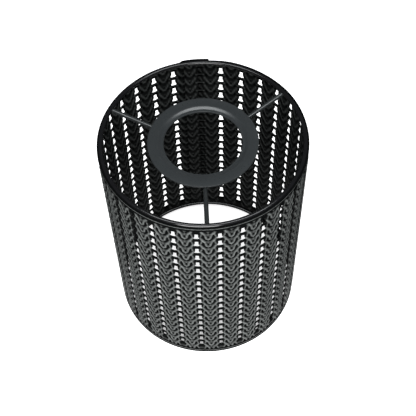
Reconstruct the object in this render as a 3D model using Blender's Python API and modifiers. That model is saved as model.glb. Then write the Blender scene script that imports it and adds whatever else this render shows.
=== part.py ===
"""Cylindrical openwork lampshade with a welded three-arm spider.

Metres, +Z up.  The origin is on the axis of the shade, in the plane that its lower rim stands on.
Angles run round the shade from the front (-Y) towards +X.
"""
import math

import bmesh
import bpy
from mathutils import Vector

MM = 0.001

# Driving sizes
HEIGHT = 143.1 * MM              # lower rim to the top of the upper wire ring
OUTER_RADIUS = 55.0 * MM         # outside of the rolled sheet
WIRE_RADIUS = 1.1 * MM           # wire of the rings and the spider arms
FITTER_HOLE_RADIUS = 20.6 * MM   # passes the 40 mm thread of an E27 lampholder
GAP = 0.3 * MM                   # clearance between neighbouring pieces

# Rolled sheet
SHEET_THICKNESS = 0.85 * MM      # over the ribs of the openwork
BAND_THICKNESS = 0.55 * MM       # of the plain bands along its edges
TOP_BAND_HEIGHT = 2.0 * MM
BOTTOM_BAND_HEIGHT = 3.2 * MM
BAND_JOINT = 0.7 * MM            # groove between an edge band and the openwork
BAND_STEPS = 66
LAYER_STEP = SHEET_THICKNESS + GAP
OUTER_END = 175.5                # degrees: where the outer layer of the overlap ends
INNER_END = 190.0                # degrees: where the inner layer of the overlap ends
STEP_END = 200.0                 # degrees: the outer layer has come in to the normal radius

# Openings of the sheet
FIRST_COLUMN = 196.72            # degrees: first column of openings clear of the overlap
COLUMN_PITCH = 12.289            # degrees
COLUMN_SHIFT = 1.3               # degrees: the sheet is drawn round a little at the front
COLUMNS_BETWEEN = 27             # pitches from the first clear column to the last one
ROWS = 19
ROW_PITCH = 6.8 * MM
TOP_ROW_DROP = 7.9 * MM          # top edge of the sheet to the middle of the first row
OPENING_HEIGHT = 4.65 * MM
OPENING_TOP_WIDTH = 1.7 * MM
OPENING_FOOT_WIDTH = 2.9 * MM

# Wire rings
TOP_RING_RADIUS = OUTER_RADIUS - BAND_THICKNESS - GAP - WIRE_RADIUS
BOTTOM_RING_RADIUS = OUTER_RADIUS - SHEET_THICKNESS - GAP - WIRE_RADIUS
TOP_RING_Z = HEIGHT - WIRE_RADIUS
BOTTOM_RING_Z = 4.2 * MM
SHEET_TOP_Z = TOP_RING_Z
RING_SEGMENTS = 56
WIRE_SIDES = 8

# Spider: a dished gallery ring on three arms
GALLERY_RADIUS = 29.0 * MM
GALLERY_TOP_Z = TOP_RING_Z - 1.6 * MM
GALLERY_THICKNESS = 1.0 * MM
FLANGE_INNER_RADIUS = 24.0 * MM
LIP_OUTER_RADIUS = 22.3 * MM
DISH_DEPTH = 0.8 * MM
ARM_ANGLES = {"spider_arm_front": 1.0, "spider_arm_right": 124.5, "spider_arm_left": 245.5}
ARM_INNER_RADIUS = 25.3 * MM
ARM_END_GAP = 0.25 * MM
ARM_RISE_AT_RING = 0.9 * MM      # the arm's end meets the ring this far below its middle


def clear_scene():
    for item in list(bpy.data.objects):
        bpy.data.objects.remove(item, do_unlink=True)


def make_material(name, colour, roughness, metallic):
    material = bpy.data.materials.new(name)
    material.use_nodes = True
    shader = material.node_tree.nodes["Principled BSDF"]
    shader.inputs["Base Color"].default_value = (*colour, 1.0)
    shader.inputs["Roughness"].default_value = roughness
    shader.inputs["Metallic"].default_value = metallic
    return material


def place(item, name, material):
    """Name an object, give it its material and move it to the shade's collection."""
    item.name = name
    item.data.name = name
    item.data.materials.clear()
    item.data.materials.append(material)
    for owner in list(item.users_collection):
        owner.objects.unlink(item)
    shade.objects.link(item)
    return item


def polar(radius, degrees, height):
    """A point at an angle counted from the front towards +X."""
    angle = math.radians(degrees)
    return Vector((radius * math.sin(angle), -radius * math.cos(angle), height))


# The rolled sheet: its ends overlap at the back, and the outer layer steps in over the inner one

def smooth_step(value):
    value = min(max(value, 0.0), 1.0)
    return value * value * (3.0 - 2.0 * value)


def sheet_radius(degrees):
    """Radius of the sheet's outer face, for an angle that runs on past a full turn."""
    stepped_in = smooth_step((degrees - INNER_END) / (STEP_END - INNER_END))
    return OUTER_RADIUS + LAYER_STEP * (1.0 - stepped_in)


def column_angle(index):
    """Angle of a column of openings: columns -1 and 28 lie in the overlap."""
    share = index / COLUMNS_BETWEEN
    return FIRST_COLUMN + COLUMN_PITCH * index - COLUMN_SHIFT * math.sin(math.pi * share) ** 2


def roll_sheet(name, thickness, angles, heights, widen=None, openings=()):
    """A grid bent round the shade's axis, with some cells left out, thickened inwards."""
    mesh = bpy.data.meshes.new(name)
    grid = bmesh.new()
    columns = len(angles)
    rows = len(heights)
    bmesh.ops.create_grid(grid, x_segments=columns - 1, y_segments=rows - 1, size=1.0)
    for vertex in grid.verts:
        column = round((vertex.co.x + 1.0) / 2.0 * (columns - 1))
        row = round((vertex.co.y + 1.0) / 2.0 * (rows - 1))
        degrees = angles[column]
        if widen is not None:
            degrees += widen(column, row)
        vertex.co = polar(sheet_radius(degrees), degrees, heights[row])
    grid.verts.ensure_lookup_table()
    grid.faces.ensure_lookup_table()
    doomed = [face for face in grid.faces
              if (face.index % (columns - 1), face.index // (columns - 1)) in openings]
    bmesh.ops.delete(grid, geom=doomed, context="FACES")
    bmesh.ops.recalc_face_normals(grid, faces=grid.faces)
    probe = grid.faces[:][0]
    outward = probe.calc_center_median().to_2d().to_3d()
    if probe.normal.dot(outward) < 0.0:
        bmesh.ops.reverse_faces(grid, faces=grid.faces)
    grid.to_mesh(mesh)
    grid.free()
    item = bpy.data.objects.new(name, mesh)
    bpy.context.scene.collection.objects.link(item)
    shell = item.modifiers.new("Thickness", "SOLIDIFY")
    shell.thickness = thickness
    shell.offset = -1.0
    shell.use_even_offset = True
    return item


def degrees_across(width):
    return math.degrees(width / OUTER_RADIUS)


def openwork_panel():
    """The panel: columns of bell-shaped openings with a plain strip between them."""
    half_top = degrees_across(OPENING_TOP_WIDTH) / 2.0
    half_foot = degrees_across(OPENING_FOOT_WIDTH) / 2.0
    angles = [OUTER_END]
    sides = [0]
    for index in range(-1, COLUMNS_BETWEEN + 2):
        middle = column_angle(index)
        angles += [middle, middle]
        sides += [-1, 1]
    angles.append(360.0 + INNER_END)
    sides.append(0)

    bottom = BOTTOM_BAND_HEIGHT + BAND_JOINT
    top = SHEET_TOP_Z - TOP_BAND_HEIGHT - BAND_JOINT
    first_row = SHEET_TOP_Z - TOP_ROW_DROP
    heights = [top]
    half_widths = [half_top]
    for row in range(ROWS):
        middle = first_row - row * ROW_PITCH
        heights += [middle + OPENING_HEIGHT / 2.0, middle - OPENING_HEIGHT / 2.0]
        half_widths += [half_top, half_foot]
    heights.append(bottom)
    half_widths.append(half_foot)
    heights.reverse()
    half_widths.reverse()

    def widen(column, row):
        return sides[column] * half_widths[row]

    columns = range(1, 2 * (COLUMNS_BETWEEN + 3), 2)
    rows = range(1, 2 * ROWS, 2)
    openings = {(column, row) for column in columns for row in rows}
    return roll_sheet("openwork_panel", SHEET_THICKNESS, angles, heights, widen, openings)


def edge_band(name, bottom, top):
    """A plain band along one edge of the sheet, with the same overlap at the back."""
    first = OUTER_END
    last = 360.0 + INNER_END
    angles = [first + (last - first) * step / BAND_STEPS for step in range(BAND_STEPS + 1)]
    return roll_sheet(name, BAND_THICKNESS, angles, [bottom, top])


def wire_ring(name, radius, height):
    bpy.ops.mesh.primitive_torus_add(
        major_radius=radius,
        minor_radius=WIRE_RADIUS,
        major_segments=RING_SEGMENTS,
        minor_segments=WIRE_SIDES,
        location=(0.0, 0.0, height),
    )
    ring = bpy.context.object
    ring.data.shade_smooth()
    return ring


def gallery_profile():
    """Closed outline of the dished sheet-metal ring, as (radius, height below its top face)."""
    drop = DISH_DEPTH
    thick = GALLERY_THICKNESS
    top_side = [
        (FITTER_HOLE_RADIUS, drop),
        (LIP_OUTER_RADIUS - 0.2 * MM, drop),
        (LIP_OUTER_RADIUS + 0.3 * MM, drop * 0.8),
        (FLANGE_INNER_RADIUS - 0.4 * MM, drop * 0.2),
        (FLANGE_INNER_RADIUS + 0.3 * MM, 0.0),
        (GALLERY_RADIUS - 0.3 * MM, 0.0),
        (GALLERY_RADIUS, 0.3 * MM),
    ]
    under_side = [
        (GALLERY_RADIUS, thick - 0.2 * MM),
        (GALLERY_RADIUS - 0.3 * MM, thick),
        (FLANGE_INNER_RADIUS - 0.2 * MM, thick),
        (FLANGE_INNER_RADIUS - 0.8 * MM, thick + drop * 0.3),
        (LIP_OUTER_RADIUS - 0.1 * MM, thick + drop * 0.9),
        (LIP_OUTER_RADIUS - 0.6 * MM, thick + drop),
        (FITTER_HOLE_RADIUS, thick + drop),
    ]
    return top_side + under_side


def gallery_ring():
    mesh = bpy.data.meshes.new("gallery_ring")
    outline = bmesh.new()
    corners = [outline.verts.new((radius, 0.0, GALLERY_TOP_Z - drop)) for radius, drop in gallery_profile()]
    for index, corner in enumerate(corners):
        outline.edges.new((corner, corners[(index + 1) % len(corners)]))
    outline.to_mesh(mesh)
    outline.free()
    ring = bpy.data.objects.new("gallery_ring", mesh)
    bpy.context.scene.collection.objects.link(ring)
    turn = ring.modifiers.new("Turn", "SCREW")
    turn.steps = RING_SEGMENTS
    turn.render_steps = RING_SEGMENTS
    turn.use_merge_vertices = True
    turn.merge_threshold = 0.00001
    turn.use_smooth_shade = True
    return ring


def spider_arm(name, degrees):
    """A wire that lies under the gallery's flange, bends at its edge and climbs to the top ring."""
    under_flange = GALLERY_TOP_Z - GALLERY_THICKNESS - GAP - WIRE_RADIUS
    ring_end_z = TOP_RING_Z - ARM_RISE_AT_RING
    ring_end_radius = TOP_RING_RADIUS - WIRE_RADIUS - ARM_END_GAP
    route = [
        polar(ARM_INNER_RADIUS, degrees, under_flange),
        polar(GALLERY_RADIUS + 0.6 * MM, degrees, under_flange),
        polar(ring_end_radius, degrees, ring_end_z),
    ]
    curve = bpy.data.curves.new(name, "CURVE")
    curve.dimensions = "3D"
    curve.bevel_depth = WIRE_RADIUS
    curve.bevel_resolution = 3
    curve.use_fill_caps = True
    line = curve.splines.new("POLY")
    line.points.add(len(route) - 1)
    for point, position in zip(line.points, route):
        point.co = (*position, 1.0)
    arm = bpy.data.objects.new(name, curve)
    bpy.context.scene.collection.objects.link(arm)
    return arm


clear_scene()
shade = bpy.data.collections.new("openwork_lampshade")
bpy.context.scene.collection.children.link(shade)

black_sheet = make_material("black_knit_sheet", (0.030, 0.031, 0.032), 0.55, 0.0)
black_enamel = make_material("black_enamel", (0.012, 0.012, 0.013), 0.28, 0.0)
grey_enamel = make_material("grey_enamel", (0.105, 0.110, 0.122), 0.42, 0.3)

place(openwork_panel(), "openwork_panel", black_sheet)
place(edge_band("top_edge_band", SHEET_TOP_Z - TOP_BAND_HEIGHT, SHEET_TOP_Z), "top_edge_band", black_sheet)
place(edge_band("bottom_edge_band", 0.0, BOTTOM_BAND_HEIGHT), "bottom_edge_band", black_sheet)
place(wire_ring("top_wire_ring", TOP_RING_RADIUS, TOP_RING_Z), "top_wire_ring", black_enamel)
bottom_ring = wire_ring("bottom_wire_ring", BOTTOM_RING_RADIUS, BOTTOM_RING_Z)
place(bottom_ring, "bottom_wire_ring", black_enamel)
place(gallery_ring(), "gallery_ring", grey_enamel)
for arm_name, arm_angle in ARM_ANGLES.items():
    place(spider_arm(arm_name, arm_angle), arm_name, black_enamel)
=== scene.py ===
"""The looks of a small black openwork lampshade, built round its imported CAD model.

Metres, +Z up, in the model's own frame: the origin is on the shade's axis, in the plane of its lower rim.
Angles run round the shade from the front (-Y) towards +X.
"""
import math

import bmesh
import bpy
import numpy as np
from mathutils import Matrix, Vector


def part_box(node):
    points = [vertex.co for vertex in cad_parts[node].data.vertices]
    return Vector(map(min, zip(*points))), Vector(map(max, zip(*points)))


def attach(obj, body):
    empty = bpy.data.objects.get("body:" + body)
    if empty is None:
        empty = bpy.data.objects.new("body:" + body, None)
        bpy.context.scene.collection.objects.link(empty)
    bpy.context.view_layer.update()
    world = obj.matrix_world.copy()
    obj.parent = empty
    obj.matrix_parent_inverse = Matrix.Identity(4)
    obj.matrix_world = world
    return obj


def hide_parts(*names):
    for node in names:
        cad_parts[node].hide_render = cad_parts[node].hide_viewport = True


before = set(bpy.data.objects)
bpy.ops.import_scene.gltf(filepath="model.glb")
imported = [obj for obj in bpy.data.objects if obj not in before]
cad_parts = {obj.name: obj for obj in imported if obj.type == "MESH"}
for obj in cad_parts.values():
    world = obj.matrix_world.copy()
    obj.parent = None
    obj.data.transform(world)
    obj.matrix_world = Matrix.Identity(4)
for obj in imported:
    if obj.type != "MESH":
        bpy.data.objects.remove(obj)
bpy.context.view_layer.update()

MM = 0.001
BODY = "root"

# Sizes read from the CAD model
panel_low, panel_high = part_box("openwork_panel")
top_band_low, top_band_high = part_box("top_edge_band")
bottom_band_low, bottom_band_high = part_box("bottom_edge_band")
top_ring_low, top_ring_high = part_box("top_wire_ring")
bottom_ring_low, bottom_ring_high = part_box("bottom_wire_ring")
gallery_low, gallery_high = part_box("gallery_ring")

WIRE_RADIUS = (top_ring_high.z - top_ring_low.z) / 2.0
TOP_RING_RADIUS = top_ring_high.x - WIRE_RADIUS
BOTTOM_RING_RADIUS = bottom_ring_high.x - WIRE_RADIUS
TOP_RING_Z = (top_ring_low.z + top_ring_high.z) / 2.0
BOTTOM_RING_Z = (bottom_ring_low.z + bottom_ring_high.z) / 2.0
SHEET_TOP_Z = top_band_high.z
GALLERY_RADIUS = (gallery_high.x - gallery_low.x) / 2.0
GALLERY_TOP_Z = gallery_high.z

# The rolled sheet.  The CAD model rolls it the same way, but steps in over 10 degrees and has no loose part.
OUTER_RADIUS = 55.0 * MM
LAYER_STEP = 1.15 * MM
OUTER_END = 175.5                # degrees: where the outer layer of the overlap ends
INNER_END = 190.0                # degrees: where the inner layer ends
STEP_END = 193.0                 # degrees: the outer layer has come in to the normal radius
LOOSE_START = 92.0               # a guess: the sheet stands a little off the rings from here
LOOSE_END = 178.0                # to here, beside the overlap
LOOSENESS = 0.60 * MM            # at the most
FIRST_COLUMN = 196.72
COLUMN_PITCH = 12.289
COLUMN_SHIFT = 1.3
COLUMNS_BETWEEN = 27
ROWS = 19
ROW_PITCH = 6.8 * MM
TOP_ROW_DROP = 7.9 * MM

# Relief of the openwork
VALLEY_DEPTH = 0.80 * MM         # from the stitches' crests down to the grooves between them
BASE_DEPTH = 1.10 * MM           # from the stitches' crests to the back of the sheet
BACK_RELIEF = 0.25 * MM
STITCH_RISE = 0.7                # mm that the stitches stand higher than the openings beside them
STRAND = 0.16                    # share of the relief that the strands' twist takes away between its bumps
HEM = 0.68 * MM                  # plain edge of the openwork that reaches to its bands
HEM_LEVEL = 0.15                 # its level on the stitches' scale
THINNEST = 0.22 * MM             # what is left of the sheet behind a groove
ARM_RADIUS = 1.20 * MM           # 0.1 mm more than the CAD model's, as the photo's front arm looks wider
CREST_RISE = 0.20 * MM           # the stitches' crests stand out this far past the sheet's radius
BAND_SINK = 0.02 * MM            # and the bands lie this far inside it
HALF_BAND = 5.9 * MM             # from the middle of a column of openings to the middle of a strip
BAND_THICKNESS = 0.86 * MM
PAINTED_LINE_LEVEL = 0.85                # how bright the painted highlight line on a band is, on the stitches' scale

# Floor and room.  All of these strengths are set one by one.
FLOOR_GLOW = 0.85                # what the floor adds to its lit paper, as the camera sees it
# painted shadow: the floor's glow is lowered inside the shade, most by the front wall
GLOW_BY_WALL = 0.45              # and on the floor inside the shade, close to the front wall
GLOW_IN_SHADE = 0.60             # rising to this towards the middle
GLOW_GROWS = (-50.0 * MM, 30.0 * MM)     # from 50 mm in front of the axis to 30 mm behind it
GLOW_SWITCH = (26.0 * MM, 42.0 * MM)     # it goes over to the floor's own this far behind the axis
SHADE_FOOT = (54.0 * MM, 55.0 * MM)      # distances from the axis at which the shade's inside ends
BOUNCE_NEAR = 0.98               # light that the floor throws on the object, beside it
BOUNCE_FAR = 0.03                # and further away
BOUNCE_FADES = (60.0 * MM, 155.0 * MM)   # between these distances from the axis
BOUNCE_UNDER = 0.32              # and inside the shade
ROOM_LIGHT = 0.11                # light from all round
ROOM_SEEN = 1.15                 # how bright the background looks behind the floor's far edge

# Camera, set between two fits to the photograph
CAMERA_DISTANCE = 513.0 * MM
CAMERA_ELEVATION = 56.54         # degrees
CAMERA_ROLL = -1.69              # degrees
CAMERA_LENS = 76.85
CAMERA_TARGET = (1.60 * MM, 0.0, TOP_RING_Z - 64.75 * MM)


# ---------------------------------------------------------------- helpers

def polar(radius, degrees, height):
    angle = math.radians(degrees)
    return Vector((radius * math.sin(angle), -radius * math.cos(angle), height))


def smooth_step(value):
    value = np.clip(value, 0.0, 1.0)
    return value * value * (3.0 - 2.0 * value)


def sheet_radius(degrees):
    """Radius of the sheet's outer face, for an angle that runs on past a full turn."""
    stepped_in = smooth_step((degrees - INNER_END) / (STEP_END - INNER_END))
    turned = degrees % 360.0
    stands_off = smooth_step((LOOSE_END - turned) / 16.0) * smooth_step((turned - LOOSE_START) / 34.0)
    return OUTER_RADIUS + LAYER_STEP * (1.0 - stepped_in) + LOOSENESS * stands_off


def column_angle(index):
    share = index / COLUMNS_BETWEEN
    return FIRST_COLUMN + COLUMN_PITCH * index - COLUMN_SHIFT * math.sin(math.pi * share) ** 2


def new_object(name, mesh, material):
    item = bpy.data.objects.new(name, mesh)
    bpy.context.scene.collection.objects.link(item)
    mesh.materials.append(material)
    return item


def register(item, slot, *nodes):
    """Ties a finished piece to the CAD model."""
    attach(item, BODY)
    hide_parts(*nodes)
    return item


# ---------------------------------------------------------------- materials

def shader_nodes(name):
    material = bpy.data.materials.new(name)
    material.use_nodes = True
    tree = material.node_tree
    return material, tree, tree.nodes["Principled BSDF"]


def add(tree, kind, **inputs):
    node = tree.nodes.new(kind)
    for key, value in inputs.items():
        node.inputs[key.replace("_", " ")].default_value = value
    return node


def noise(tree, scale, detail=2.0, roughness=0.5):
    coordinates = tree.nodes.new("ShaderNodeTexCoord")
    texture = add(tree, "ShaderNodeTexNoise", Scale=scale, Detail=detail, Roughness=roughness)
    tree.links.new(coordinates.outputs["Object"], texture.inputs["Vector"])
    return texture


def map_range(tree, source, low, high, start=0.0, end=1.0):
    node = add(tree, "ShaderNodeMapRange", From_Min=start, From_Max=end, To_Min=low, To_Max=high)
    tree.links.new(source, node.inputs["Value"])
    return node.outputs["Result"]


def power(tree, source, exponent):
    node = tree.nodes.new("ShaderNodeMath")
    node.operation = "POWER"
    node.inputs[1].default_value = exponent
    tree.links.new(source, node.inputs[0])
    return node.outputs["Value"]


def times(tree, first, second):
    node = tree.nodes.new("ShaderNodeMath")
    node.operation = "MULTIPLY"
    tree.links.new(first, node.inputs[0])
    tree.links.new(second, node.inputs[1])
    return node.outputs["Value"]


def bump(tree, height, strength, distance):
    node = add(tree, "ShaderNodeBump", Strength=strength, Distance=distance)
    tree.links.new(height, node.inputs["Height"])
    return node.outputs["Normal"]


def mix_colours(tree, factor, first, second):
    node = tree.nodes.new("ShaderNodeMix")
    node.data_type = "RGBA"
    node.inputs["A"].default_value = (*first, 1.0)
    node.inputs["B"].default_value = (*second, 1.0)
    tree.links.new(factor, node.inputs["Factor"])
    return node.outputs["Result"]


def attribute(tree, name):
    node = tree.nodes.new("ShaderNodeAttribute")
    node.attribute_name = name
    return node.outputs["Fac"]


def sheet_material():
    """Black coated openwork, its colour painted from the relief: grey on the stitches' crests as a painted
    sheen, near-black in the grooves as painted shade.
    """
    material, tree, shader = shader_nodes("black_openwork")
    level = map_range(tree, attribute(tree, "relief"), 0.0, 1.0, 0.30, 1.0)
    sheen_patches = noise(tree, 700.0, 3.0, 0.6)
    # painted sheen on the crests, patchy at random, and painted shade down in the grooves
    painted_crest_light = times(tree, power(tree, level, 1.4), map_range(tree, sheen_patches.outputs["Fac"], 0.50, 1.50, 0.3, 0.7))
    colour = mix_colours(tree, painted_crest_light, (0.004, 0.0045, 0.0045), (0.164, 0.175, 0.170))
    tree.links.new(colour, shader.inputs["Base Color"])
    grain = noise(tree, 2600.0, 3.0, 0.6)
    tree.links.new(map_range(tree, grain.outputs["Fac"], 0.40, 0.62), shader.inputs["Roughness"])
    tree.links.new(bump(tree, grain.outputs["Fac"], 0.35, 0.00012), shader.inputs["Normal"])
    tree.links.new(map_range(tree, painted_crest_light, 0.0, 0.5), shader.inputs["Specular IOR Level"])
    return material


def lining_material():
    """The back of the openwork, and the cut rims of its openings: matt black, painted lighter on the back
    stitches' ridges and darker between them, as painted light and shade.
    """
    material, tree, shader = shader_nodes("black_openwork_back")
    painted_crest_light = map_range(tree, attribute(tree, "relief"), 0.0, 1.0, 0.15, 1.0)
    # painted light on the back stitches' ridges and painted shade between them
    colour = mix_colours(tree, painted_crest_light, (0.0006, 0.001, 0.001), (0.062, 0.067, 0.065))
    tree.links.new(colour, shader.inputs["Base Color"])
    grain = noise(tree, 2600.0, 3.0, 0.6)
    tree.links.new(map_range(tree, grain.outputs["Fac"], 0.45, 0.65), shader.inputs["Roughness"])
    tree.links.new(bump(tree, grain.outputs["Fac"], 0.35, 0.00012), shader.inputs["Normal"])
    tree.links.new(map_range(tree, painted_crest_light, 0.01, 0.25), shader.inputs["Specular IOR Level"])
    return material


def enamel_material():
    """Glossy black enamel on wire, faintly uneven."""
    material, tree, shader = shader_nodes("black_wire_enamel")
    uneven = noise(tree, 260.0, 2.0)
    colour = mix_colours(tree, uneven.outputs["Fac"], (0.004, 0.004, 0.0045), (0.008, 0.008, 0.009))
    tree.links.new(colour, shader.inputs["Base Color"])
    tree.links.new(map_range(tree, uneven.outputs["Fac"], 0.10, 0.20), shader.inputs["Roughness"])
    tree.links.new(bump(tree, uneven.outputs["Fac"], 0.25, 0.0002), shader.inputs["Normal"])
    shader.inputs["IOR"].default_value = 1.5
    return material


def arm_paint_material():
    """Satin dark grey paint on the spider's arms, which look greyer than the rings in the photo."""
    material, tree, shader = shader_nodes("grey_arm_paint")
    uneven = noise(tree, 420.0, 3.0)
    colour = mix_colours(tree, uneven.outputs["Fac"], (0.019, 0.021, 0.0215), (0.028, 0.031, 0.0315))
    tree.links.new(colour, shader.inputs["Base Color"])
    tree.links.new(map_range(tree, uneven.outputs["Fac"], 0.16, 0.24), shader.inputs["Roughness"])
    tree.links.new(bump(tree, uneven.outputs["Fac"], 0.25, 0.0001), shader.inputs["Normal"])
    shader.inputs["IOR"].default_value = 1.5
    return material


def fitter_material():
    """Satin dark grey paint on pressed sheet metal."""
    material, tree, shader = shader_nodes("grey_fitter_paint")
    speckle = noise(tree, 1500.0, 4.0, 0.6)
    clouds = noise(tree, 60.0, 2.0)
    colour = mix_colours(tree, clouds.outputs["Fac"], (0.0235, 0.0265, 0.028), (0.032, 0.036, 0.0375))
    tree.links.new(colour, shader.inputs["Base Color"])
    tree.links.new(map_range(tree, speckle.outputs["Fac"], 0.24, 0.34), shader.inputs["Roughness"])
    tree.links.new(bump(tree, speckle.outputs["Fac"], 0.15, 0.00008), shader.inputs["Normal"])
    shader.inputs["IOR"].default_value = 1.5
    return material


def mix_values(tree, factor, first, second):
    node = tree.nodes.new("ShaderNodeMix")
    tree.links.new(factor, node.inputs["Factor"])
    for value, name in ((first, "A"), (second, "B")):
        if isinstance(value, float):
            node.inputs[name].default_value = value
        else:
            tree.links.new(value, node.inputs[name])
    return node.outputs["Result"]


def floor_material():
    """White paper that glows to the camera and throws less light on the object from further away.

    What the camera sees of the floor isn't what lights the object. Inside the shade its glow is lowered,
    most by the front wall: a painted shadow.
    """
    material, tree, shader = shader_nodes("white_paper")
    fibres = noise(tree, 400.0, 3.0)
    tree.links.new(map_range(tree, fibres.outputs["Fac"], 0.85, 0.95), shader.inputs["Roughness"])
    shader.inputs["Specular IOR Level"].default_value = 0.1
    shader.inputs["Emission Color"].default_value = (1.0, 1.0, 1.0, 1.0)
    shader.inputs["Base Color"].default_value = (0.82, 0.82, 0.82, 1.0)

    coordinates = tree.nodes.new("ShaderNodeTexCoord")
    axes = tree.nodes.new("ShaderNodeSeparateXYZ")
    tree.links.new(coordinates.outputs["Object"], axes.inputs["Vector"])
    from_axis = tree.nodes.new("ShaderNodeVectorMath")
    from_axis.operation = "LENGTH"
    tree.links.new(coordinates.outputs["Object"], from_axis.inputs[0])
    outside = map_range(tree, from_axis.outputs["Value"], BOUNCE_NEAR, BOUNCE_FAR, *BOUNCE_FADES)
    past_wall = map_range(tree, from_axis.outputs["Value"], 0.0, 1.0, *SHADE_FOOT)
    bounced = mix_values(tree, past_wall, BOUNCE_UNDER, outside)
    # painted shadow: the glow inside the shade, lowest by the front wall, back to the full glow past the
    # middle
    past_middle = map_range(tree, axes.outputs["Y"], 0.0, 1.0, *GLOW_SWITCH)
    painted_shadow_ramp = map_range(tree, axes.outputs["Y"], GLOW_BY_WALL, GLOW_IN_SHADE, *GLOW_GROWS)
    glow_with_painted_shadow = mix_values(tree, past_middle, painted_shadow_ramp, FLOOR_GLOW)
    glow = mix_values(tree, past_wall, glow_with_painted_shadow, FLOOR_GLOW)
    tree.links.new(glow, shader.inputs["Emission Strength"])
    bounce = add(tree, "ShaderNodeEmission")
    tree.links.new(bounced, bounce.inputs["Strength"])
    path = tree.nodes.new("ShaderNodeLightPath")
    mix = tree.nodes.new("ShaderNodeMixShader")
    tree.links.new(path.outputs["Is Camera Ray"], mix.inputs["Fac"])
    tree.links.new(bounce.outputs["Emission"], mix.inputs[1])
    tree.links.new(shader.outputs["BSDF"], mix.inputs[2])
    tree.links.new(mix.outputs["Shader"], tree.nodes["Material Output"].inputs["Surface"])
    return material


# ---------------------------------------------------------------- openwork panel

# An opening's outline: height above its middle and half width there, both in mm, from its top to its foot
OPENING_OUTLINE = [(2.20, 0.76), (2.05, 0.90), (1.65, 0.90), (1.2, 0.88), (0.75, 0.89), (0.3, 0.93),
                   (-0.1, 1.02), (-0.5, 1.16), (-1.0, 1.38), (-1.45, 1.54), (-1.85, 1.60), (-2.12, 1.40)]
ARCH = 0.05                      # mm that the middle of an opening's top stands above its corners
SMILE = 0.14                     # mm that the middle of its foot hangs below its corners
BAR_QUADS = 5                    # rows of faces in the bar between two openings
STRIP_QUADS = 22                 # columns of faces in the strip between two columns of openings
EDGE_QUADS = 16                  # and from the outermost columns to the sheet's ends

# The stitches of the outer face.  Each line is a list of (distance from the middle of a column of openings,
# height above an opening's middle, half width) in mm, with its height or depth.  They repeat with every row.
RIDGES = [
    ([(1.6, -1.0, 0.32), (2.1, -1.9, 0.40), (2.6, -2.8, 0.46), (3.05, -3.7, 0.52), (3.75, -4.75, 0.46),
      (4.3, -5.7, 0.42), (4.55, -6.8, 0.40), (4.65, -7.8, 0.46), (4.95, -8.7, 0.44), (5.45, -9.2, 0.36),
      (5.9, -9.35, 0.34)], 1.0),
    ([(3.0, -4.0, 0.34), (2.65, -4.9, 0.34), (2.35, -5.8, 0.32), (2.1, -6.8, 0.30), (1.9, -7.6, 0.30)], 0.7),
    ([(5.9, -3.2, 0.25), (5.9, -4.6, 0.35), (5.9, -5.6, 0.55), (5.9, -6.2, 0.40)], 0.45),
]
GROOVES = [
    ([(3.2, 1.1, 0.10), (3.27, 0.2, 0.30), (3.36, -0.7, 0.48), (3.5, -1.6, 0.46), (3.8, -2.4, 0.34),
      (4.3, -3.1, 0.30), (4.95, -3.65, 0.42), (5.35, -3.85, 0.34)], 1.0),
    ([(1.25, 1.9, 0.25), (1.4, 0.9, 0.40), (1.4, 0.0, 0.35), (1.5, -0.6, 0.20)], 0.35),
    ([(5.9, -0.35, 0.28), (5.9, -1.2, 0.33)], 1.2),
    ([(1.6, -3.6, 0.25), (1.9, -4.6, 0.25), (1.75, -5.6, 0.20)], 0.35),
]
# The back of the stitches, on the inner face
BACK_RIDGES = [
    ([(2.4, 1.8, 0.45), (3.2, 0.1, 0.60), (4.3, -1.9, 0.55), (5.3, -3.6, 0.50), (5.9, -4.2, 0.45)], 1.0),
    ([(2.2, -2.6, 0.35), (2.3, -4.0, 0.35), (2.4, -5.0, 0.40)], 0.7),
    ([(5.9, -0.5, 0.40), (5.9, -1.0, 0.40)], 0.8),
    ([(0.0, -2.65, 0.25), (1.5, -2.65, 0.25), (2.1, -3.1, 0.30)], 1.0),
]
BACK_GROOVES = [
    ([(3.4, -2.6, 0.35), (3.5, -4.2, 0.40)], 0.6),
    ([(5.9, -2.0, 0.40), (5.9, -2.8, 0.30)], 0.6),
]


def closeness(s, v, lines, sharpness):
    """How near each point is to the nearest of some lines, from 0 far away to the line's level on it."""
    pitch = ROW_PITCH / MM
    result = np.zeros(s.shape)
    for turn in (-1, 0, 1, 2):
        height = v - turn * pitch
        for line, level in lines:
            nearest = np.full(s.shape, 1e9)
            for (s0, v0, w0), (s1, v1, w1) in zip(line, line[1:]):
                along_s, along_v = s1 - s0, v1 - v0
                share = ((s - s0) * along_s + (height - v0) * along_v) / (along_s ** 2 + along_v ** 2)
                share = np.clip(share, 0.0, 1.0)
                away = np.hypot(s - s0 - share * along_s, height - v0 - share * along_v)
                nearest = np.minimum(nearest, away / (w0 + (w1 - w0) * share))
            result = np.maximum(result, level * np.exp(-sharpness * nearest ** 2))
    return result


def bars(s, v):
    """1 on the bars between the openings, 0 elsewhere."""
    pitch = ROW_PITCH / MM
    result = np.zeros(s.shape)
    for turn in (-1, 0, 1, 2):
        middle = turn * pitch - pitch / 2.0
        result = np.maximum(result, np.exp(-((v - middle) / 1.2) ** 4))
    return result * np.exp(-((s / 1.55) ** 6))


def outer_relief(s, v):
    """Height of the outer face, about 1 on the stitches and 0 in the grooves between them."""
    stitch = v - STITCH_RISE
    height = 0.48 + 0.55 * closeness(s, stitch, RIDGES, 0.8) - 0.62 * closeness(s, stitch, GROOVES, 0.8)
    strand = math.tau * 3.0 * v / (ROW_PITCH / MM) + 1.1 * s
    height *= 1.0 - STRAND * (0.5 - 0.5 * np.cos(strand))
    bar = bars(s, v)
    return np.clip(height, 0.0, 1.0) * (1.0 - bar) + 0.05 * bar


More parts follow.
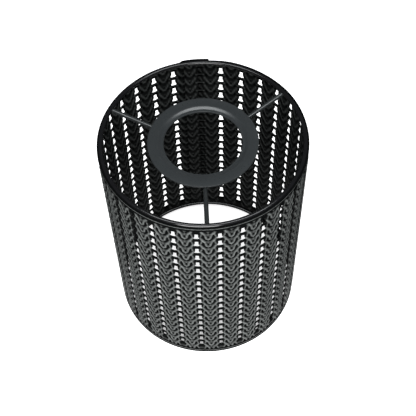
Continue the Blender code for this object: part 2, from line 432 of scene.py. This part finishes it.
def inner_relief(s, v):
    ridges = closeness(s, v, BACK_RIDGES, 1.2)
    height = 0.22 + 0.75 * ridges - 0.4 * closeness(s, v, BACK_GROOVES, 0.9)
    bar = bars(s, v)
    return np.clip(height, 0.0, 1.0) * (1.0 - bar) + (0.05 + 0.6 * ridges) * bar


def mirrored(s):
    """The stitches run back from the middle of a strip as they ran up to it."""
    half = HALF_BAND / MM
    return half - np.abs(half - s)


def lines_round():
    """The panel's upright lines, as (kind, column, share, does the inner face use it too)."""
    lines = [("lead", 0, k / EDGE_QUADS, k % 2 == 0) for k in range(EDGE_QUADS)]
    for index in range(-1, COLUMNS_BETWEEN + 2):
        for share in (-1.0, -0.5, 0.0, 0.5, 1.0):
            lines.append(("opening", index, share, True))
        if index <= COLUMNS_BETWEEN:
            for k in range(1, STRIP_QUADS):
                lines.append(("strip", index, k / STRIP_QUADS, k % 2 == 0))
    lines += [("tail", 0, k / EDGE_QUADS, k % 2 == 0) for k in range(1, EDGE_QUADS + 1)]
    return lines


def lines_up(top, bottom, first):
    """The panel's level lines from its top down, as (row, height above the row's middle), in mm."""
    pitch = ROW_PITCH / MM
    opening_top = OPENING_OUTLINE[0][0]
    opening_foot = OPENING_OUTLINE[-1][0]
    head = top - first - opening_top
    lines = [(0, opening_top + head * (1.0 - k / 6.0)) for k in range(6)]
    for row in range(ROWS):
        lines += [(row, height) for height, _ in OPENING_OUTLINE]
        gap = pitch - (opening_top - opening_foot)
        if row < ROWS - 1:
            lines += [(row, opening_foot - gap * k / BAR_QUADS) for k in range(1, BAR_QUADS)]
    foot = first - (ROWS - 1) * pitch + opening_foot - bottom
    lines += [(ROWS - 1, opening_foot - foot * k / 4.0) for k in range(1, 5)]
    return lines


def panel_grid():
    """Angles, distances from the nearest column, and heights of the panel's grid of lines."""
    pitch = ROW_PITCH / MM
    top = (panel_high.z + HEM) / MM
    bottom = (panel_low.z - HEM) / MM
    first = (SHEET_TOP_Z - TOP_ROW_DROP) / MM
    lines = lines_round()
    levels = lines_up(top, bottom, first)
    row_of = np.array([row for row, _ in levels])
    v_line = np.array([height for _, height in levels])

    # half width of the openings, carried on across the bars between them
    heights = np.array([height for height, _ in OPENING_OUTLINE])[::-1]
    widths = np.array([width for _, width in OPENING_OUTLINE])[::-1]
    heights = np.concatenate([[heights[-1] - pitch], heights])
    widths = np.concatenate([[widths[-1]], widths])
    half_width = np.interp(v_line, heights, widths)

    degrees_per_mm = math.degrees(MM / OUTER_RADIUS)
    half_degrees = half_width * degrees_per_mm
    angle = np.zeros((len(levels), len(lines)))
    s = np.zeros(angle.shape)
    bend = np.zeros(len(lines))
    for j, (kind, index, share, _) in enumerate(lines):
        if kind == "opening":
            angle[:, j] = column_angle(index) + share * half_degrees
            s[:, j] = abs(share) * half_width
            bend[j] = 1.0 - share ** 2
        elif kind == "strip":
            left = column_angle(index) + half_degrees
            right = column_angle(index + 1) - half_degrees
            middle = (column_angle(index) + column_angle(index + 1)) / 2.0
            half = (column_angle(index + 1) - column_angle(index)) / 2.0
            angle[:, j] = left + (right - left) * share
            s[:, j] = (1.0 - np.abs(angle[:, j] - middle) / half) * HALF_BAND / MM
        elif kind == "lead":
            right = column_angle(-1) - half_degrees
            angle[:, j] = OUTER_END + (right - OUTER_END) * share
            s[:, j] = mirrored((column_angle(-1) - angle[:, j]) / degrees_per_mm)
        else:
            left = column_angle(COLUMNS_BETWEEN + 1) + half_degrees
            angle[:, j] = left + (360.0 + INNER_END - left) * share
            s[:, j] = mirrored((angle[:, j] - column_angle(COLUMNS_BETWEEN + 1)) / degrees_per_mm)

    # the openings' tops arch up and their feet hang down in the middle
    opening_top = OPENING_OUTLINE[0][0]
    opening_foot = OPENING_OUTLINE[-1][0]
    lift = ARCH * np.exp(-((v_line - opening_top) / 0.9) ** 2)
    lift += ARCH * np.exp(-((v_line + pitch - opening_top) / 0.9) ** 2)
    lift -= SMILE * np.exp(-((v_line - opening_foot) / 0.9) ** 2)
    v = v_line[:, None] + lift[:, None] * bend[None, :]
    z = v + (first - row_of * pitch)[:, None]
    inner_lines = np.array([j for j, line in enumerate(lines) if line[3]])
    return lines, v_line, angle, s, v, z, inner_lines


def kept_faces(lines, v_line, used):
    """Which of the grid's faces are there, between the lines used: all but those in the openings."""
    opening_top = OPENING_OUTLINE[0][0]
    opening_foot = OPENING_OUTLINE[-1][0]
    upper, lower = v_line[:-1], v_line[1:]
    in_opening = (upper <= opening_top + 1e-9) & (lower >= opening_foot - 1e-9) & (upper > lower)
    kinds = [lines[j][0] for j in used]
    shares = [lines[j][2] for j in used]
    pairs = list(zip(kinds, kinds[1:], shares, shares[1:]))
    openings = np.array([a == b == "opening" and x < y for a, b, x, y in pairs])
    return ~(in_opening[:, None] & openings[None, :])


def border_edges(quads):
    """The directed edges that only one of the faces uses."""
    edges = np.concatenate([quads[:, [k, (k + 1) % 4]] for k in range(4)])
    size = int(edges.max()) + 1
    forward = edges[:, 0].astype(np.int64) * size + edges[:, 1]
    backward = edges[:, 1].astype(np.int64) * size + edges[:, 0]
    return edges[~np.isin(forward, backward)]


def build_panel():
    """The openwork sheet: one closed skin of outer face, inner face and the rims of its openings."""
    lines, v_line, angle, s, v, z, inner_lines = panel_grid()
    rows, columns = angle.shape
    top, bottom = z.max(), z.min()
    edge = HEM / MM
    fade = smooth_step((top - edge * 0.9 - z) / 0.5) * smooth_step((z - bottom - edge * 0.9) / 0.5)

    outside = outer_relief(s, v) * fade + HEM_LEVEL * (1.0 - fade)
    inside = inner_relief(s, v) * fade + 0.3 * (1.0 - fade)
    face = sheet_radius(angle) + CREST_RISE
    outer_radius = face - VALLEY_DEPTH * (1.0 - outside)
    inner_radius = face - BASE_DEPTH + BACK_RELIEF * (1.0 - inside)
    inner_radius = np.minimum(inner_radius, outer_radius - THINNEST)
    turn = np.radians(angle)

    def points_at(radius, used):
        chosen = radius[:, used]
        x = chosen * np.sin(turn[:, used])
        y = -chosen * np.cos(turn[:, used])
        return np.stack([x, y, z[:, used] * MM], axis=-1).reshape(-1, 3)

    every = np.arange(columns)
    outer_points = points_at(outer_radius, every)
    inner_points = points_at(inner_radius, inner_lines)

    def faces_between(used):
        i, j = np.nonzero(kept_faces(lines, v_line, used))
        left, right = used[j], used[j + 1]
        return np.stack([i * columns + left, (i + 1) * columns + left,
                         (i + 1) * columns + right, i * columns + right], axis=1)

    outer_faces = faces_between(every)
    inner_faces = faces_between(inner_lines)[:, ::-1]

    # rims: the inner face's border edges joined to the outer face's, which may have a point between
    offset = rows * columns
    place_of_line = np.full(columns, -1)
    place_of_line[inner_lines] = np.arange(len(inner_lines))

    def inner_number(corner):
        return offset + corner // columns * len(inner_lines) + place_of_line[corner % columns]

    border = border_edges(inner_faces)
    start, end = border[:, 0], border[:, 1]
    doubled = np.abs(start - end) == 2
    plain = ~doubled
    rims = np.stack([inner_number(end[plain]), inner_number(start[plain]), start[plain], end[plain]], axis=1)
    middle = (start[doubled] + end[doubled]) // 2
    wide_rims = np.stack([inner_number(end[doubled]), inner_number(start[doubled]), start[doubled],
                          middle, end[doubled]], axis=1)
    inner_faces = inner_number(inner_faces)

    points = np.concatenate([outer_points, inner_points])
    heights = np.concatenate([outside.ravel(), inside[:, inner_lines].ravel()])
    corners = np.concatenate([outer_faces.ravel(), inner_faces.ravel(), rims.ravel(), wide_rims.ravel()])
    used = np.zeros(len(points), bool)
    used[corners] = True
    renumber = np.cumsum(used) - 1
    four_sided = len(outer_faces) + len(inner_faces) + len(rims)
    sizes = np.concatenate([np.full(four_sided, 4), np.full(len(wide_rims), 5)])
    starts = np.cumsum(sizes) - sizes

    mesh = bpy.data.meshes.new("openwork_panel_visual")
    mesh.vertices.add(int(used.sum()))
    mesh.vertices.foreach_set("co", points[used].astype(np.float32).ravel())
    mesh.loops.add(len(corners))
    mesh.loops.foreach_set("vertex_index", renumber[corners].astype(np.int32))
    mesh.polygons.add(len(sizes))
    mesh.polygons.foreach_set("loop_start", starts.astype(np.int32))
    finish = np.ones(len(sizes), np.int32)
    finish[:len(outer_faces)] = 0
    mesh.polygons.foreach_set("material_index", finish)
    mesh.update(calc_edges=True)
    # the heights are kept for the materials, which paint high ground lighter as a painted sheen and low
    # ground darker as painted shade
    height = mesh.attributes.new("relief", "FLOAT", "POINT")
    height.data.foreach_set("value", heights[used].astype(np.float32))
    mesh.shade_smooth()
    return mesh


# ---------------------------------------------------------------- bands, rings, arms and gallery

def rolled_band(name, bottom, top, painted_line, material):
    """A narrow band with rounded edges, rolled with the same overlap as the sheet.

    The third argument gives the height and half width of a painted highlight line along the band; away from
    it the band is painted darker.
    """
    steps = 220
    sides = 6
    radius = 0.25 * MM
    outline = []
    back = -BAND_THICKNESS + radius
    corners = [(-radius, top - radius, 0.0), (back, top - radius, 90.0),
               (back, bottom + radius, 180.0), (-radius, bottom + radius, 270.0)]
    for depth, height, start in corners:
        for k in range(sides + 1):
            turn = math.radians(start + 90.0 * k / sides)
            outline.append((depth + radius * math.cos(turn), height + radius * math.sin(turn)))
    outer_rows = 10
    for k in range(1, outer_rows):
        outline.append((0.0, bottom + radius + (top - bottom - 2.0 * radius) * k / outer_rows))
    mesh = bpy.data.meshes.new(name)
    band = bmesh.new()
    loops = []
    for step in range(steps + 1):
        degrees = OUTER_END + (360.0 + INNER_END - OUTER_END) * step / steps
        outside = float(sheet_radius(degrees)) - BAND_SINK
        loops.append([band.verts.new(polar(outside + depth, degrees, height)) for depth, height in outline])
    size = len(outline)
    for first, second in zip(loops, loops[1:]):
        for k in range(size):
            following = (k + 1) % size
            band.faces.new((first[k], second[k], second[following], first[following]))
    band.faces.new(loops[0])
    band.faces.new(list(reversed(loops[-1])))
    bmesh.ops.recalc_face_normals(band, faces=band.faces)
    band.to_mesh(mesh)
    band.free()
    middle, half = painted_line
    # painted highlight along the band, falling to dark away from it
    painted_highlight = [PAINTED_LINE_LEVEL * math.exp(-((vertex.co.z - middle) / half) ** 2) for vertex in mesh.vertices]
    height = mesh.attributes.new("relief", "FLOAT", "POINT")
    height.data.foreach_set("value", painted_highlight)
    mesh.shade_smooth()
    mesh.set_sharp_from_angle(angle=math.radians(50.0))
    return new_object(name, mesh, material)


def wire_ring(name, radius, height, material):
    bpy.ops.mesh.primitive_torus_add(
        major_radius=radius,
        minor_radius=WIRE_RADIUS,
        major_segments=240,
        minor_segments=24,
        location=(0.0, 0.0, height),
    )
    ring = bpy.context.object
    ring.name = name
    ring.data.materials.append(material)
    ring.data.shade_smooth()
    return ring


def gallery(name, material):
    """The dished ring: flat flange, sloping step and a lip round the fitter hole."""
    thick = 1.0 * MM
    drop = 1.0 * MM
    hole = 20.56 * MM
    outline = [
        (hole, drop + 0.18 * MM), (hole + 0.05 * MM, drop + 0.06 * MM), (hole + 0.18 * MM, drop),
        (21.4 * MM, drop), (21.75 * MM, drop * 0.97), (22.1 * MM, drop * 0.84), (22.95 * MM, drop * 0.38),
        (23.4 * MM, drop * 0.12), (23.9 * MM, drop * 0.03), (24.4 * MM, 0.0),
        (GALLERY_RADIUS - 0.28 * MM, 0.0), (GALLERY_RADIUS - 0.1 * MM, 0.06 * MM),
        (GALLERY_RADIUS, 0.25 * MM), (GALLERY_RADIUS, thick - 0.25 * MM),
        (GALLERY_RADIUS - 0.1 * MM, thick - 0.06 * MM), (GALLERY_RADIUS - 0.28 * MM, thick),
        (24.2 * MM, thick), (23.8 * MM, thick + drop * 0.05), (22.5 * MM, thick + drop * 0.42),
        (21.6 * MM, thick + drop * 0.85), (21.3 * MM, thick + drop * 0.97), (21.0 * MM, thick + drop),
        (hole + 0.18 * MM, thick + drop), (hole, thick + drop - 0.18 * MM),
    ]
    mesh = bpy.data.meshes.new(name)
    profile = bmesh.new()
    corners = [profile.verts.new((radius, 0.0, GALLERY_TOP_Z - down)) for radius, down in outline]
    for index, corner in enumerate(corners):
        profile.edges.new((corner, corners[(index + 1) % len(corners)]))
    steps = 180
    bmesh.ops.spin(profile, geom=profile.verts[:] + profile.edges[:], axis=(0, 0, 1), cent=(0, 0, 0),
                   dvec=(0, 0, 0), angle=math.tau, steps=steps, use_merge=True)
    bmesh.ops.remove_doubles(profile, verts=profile.verts, dist=0.000001)
    bmesh.ops.recalc_face_normals(profile, faces=profile.faces)
    profile.to_mesh(mesh)
    profile.free()
    mesh.shade_smooth()
    mesh.set_sharp_from_angle(angle=math.radians(40.0))
    return new_object(name, mesh, material)


def arm(name, node, material):
    """A spider arm: it lies under the flange, bends at its edge and climbs to its weld on the top ring."""
    low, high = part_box(node)
    middle = (low + high) / 2.0
    degrees = math.degrees(math.atan2(middle.x, -middle.y))
    flat_z = low.z + WIRE_RADIUS
    end_z = TOP_RING_Z - 0.9 * MM
    inner = 25.3 * MM
    bend = GALLERY_RADIUS + 0.6 * MM
    reach = 1.4 * MM                 # the bend begins and ends this far from its middle
    last = 2.0 * MM
    end = TOP_RING_RADIUS - WIRE_RADIUS * 0.7
    slope = (end_z - flat_z) / (end - bend)
    route = [(inner, flat_z), (bend - reach, flat_z)]
    for k in range(1, 8):
        share = k / 8.0
        x = bend - reach + 2.0 * reach * share
        route.append((x, flat_z + slope * reach * share ** 2))
    route.append((bend + reach, flat_z + slope * reach))
    route.append((end - last, end_z - slope * last))
    route.append((end, end_z))
    curve = bpy.data.curves.new(name, "CURVE")
    curve.dimensions = "3D"
    curve.bevel_depth = ARM_RADIUS
    curve.bevel_resolution = 8
    curve.use_fill_caps = True
    line = curve.splines.new("POLY")
    line.points.add(len(route) - 1)
    for point, (radius, height) in zip(line.points, route):
        point.co = (*polar(radius, degrees, height), 1.0)
    line.use_smooth = True
    item = bpy.data.objects.new(name, curve)
    bpy.context.scene.collection.objects.link(item)
    curve.materials.append(material)
    return item


# ---------------------------------------------------------------- stage, light and camera

def make_floor():
    bpy.ops.mesh.primitive_plane_add(size=6.0, location=(0.0, 0.0, 0.0))
    floor = bpy.context.object
    floor.name = "floor"
    floor.data.materials.append(floor_material())


def area_light(name, location, target, size, watts, colour):
    light = bpy.data.lights.new(name, "AREA")
    light.color = colour
    light.shape = "RECTANGLE"
    light.size = size[0]
    light.size_y = size[1]
    light.energy = watts
    item = bpy.data.objects.new(name, light)
    bpy.context.scene.collection.objects.link(item)
    item.location = location
    item.rotation_euler = (Vector(target) - Vector(location)).to_track_quat("-Z", "Y").to_euler()
    item.visible_camera = False
    return item


def make_world():
    world = bpy.data.worlds.new("studio")
    bpy.context.scene.world = world
    world.use_nodes = True
    tree = world.node_tree
    background = tree.nodes["Background"]
    background.inputs["Color"].default_value = (0.75, 0.77, 0.80, 1.0)
    path = tree.nodes.new("ShaderNodeLightPath")
    strength = map_range(tree, path.outputs["Is Camera Ray"], ROOM_LIGHT, ROOM_SEEN)
    tree.links.new(strength, background.inputs["Strength"])


def make_camera():
    elevation = math.radians(CAMERA_ELEVATION)
    roll = math.radians(CAMERA_ROLL)
    forward = Vector((0.0, math.cos(elevation), -math.sin(elevation)))
    right = Vector((1.0, 0.0, 0.0))
    up = Vector((0.0, math.sin(elevation), math.cos(elevation)))
    right_rolled = right * math.cos(roll) + up * math.sin(roll)
    up_rolled = up * math.cos(roll) - right * math.sin(roll)
    camera = bpy.data.cameras.new("camera")
    camera.sensor_width = 36.0
    camera.lens = CAMERA_LENS
    camera.clip_start = 0.01
    camera.clip_end = 20.0
    item = bpy.data.objects.new("camera", camera)
    bpy.context.scene.collection.objects.link(item)
    turn = Matrix((right_rolled, up_rolled, -forward)).transposed()
    place = Vector(CAMERA_TARGET) - forward * CAMERA_DISTANCE
    item.matrix_world = Matrix.Translation(place) @ turn.to_4x4()
    bpy.context.scene.camera = item


make_camera()
make_floor()
make_world()
area_light("key", (0.06, -0.20, 1.0), (0.06, 0.0, 0.1), (1.2, 0.32), 9.5, (0.95, 0.985, 1.0))
area_light("front", (-0.03, -0.34, 0.155), (0.0, -0.05, 0.08), (0.20, 0.22), 1.60, (1.0, 1.0, 1.0))
behind = area_light("behind", (0.10, 0.55, 0.30), (0.0, 0.05, 0.07), (0.5, 0.4), 2.2, (1.0, 1.0, 1.0))
behind.visible_glossy = False    # it adds no glints
bpy.context.scene.view_settings.view_transform = "Standard"

sheet = sheet_material()
enamel = enamel_material()
arm_paint = arm_paint_material()
paint = fitter_material()

panel = new_object("openwork_panel_visual", build_panel(), sheet)
panel.data.materials.append(lining_material())
register(panel, "sheet", "openwork_panel")
# height and half width of each band's painted highlight line
top_painted_line = (top_band_high.z - 0.80 * MM, 0.42 * MM)
top_band = rolled_band("top_edge_band_visual", top_band_low.z, top_band_high.z, top_painted_line, sheet)
register(top_band, "sheet", "top_edge_band")
bottom_painted_line = (bottom_band_high.z - 0.75 * MM, 0.5 * MM)
bottom_band = rolled_band("bottom_edge_band_visual", bottom_band_low.z, bottom_band_high.z, bottom_painted_line,
                          sheet)
register(bottom_band, "sheet", "bottom_edge_band")
register(wire_ring("top_wire_ring_visual", TOP_RING_RADIUS, TOP_RING_Z, enamel), "wire", "top_wire_ring")
bottom_ring = wire_ring("bottom_wire_ring_visual", BOTTOM_RING_RADIUS, BOTTOM_RING_Z, enamel)
register(bottom_ring, "wire", "bottom_wire_ring")
register(gallery("gallery_ring_visual", paint), "fitter", "gallery_ring")
for side in ("front", "right", "left"):
    register(arm("spider_arm_" + side + "_visual", "spider_arm_" + side, arm_paint), "wire",
             "spider_arm_" + side)
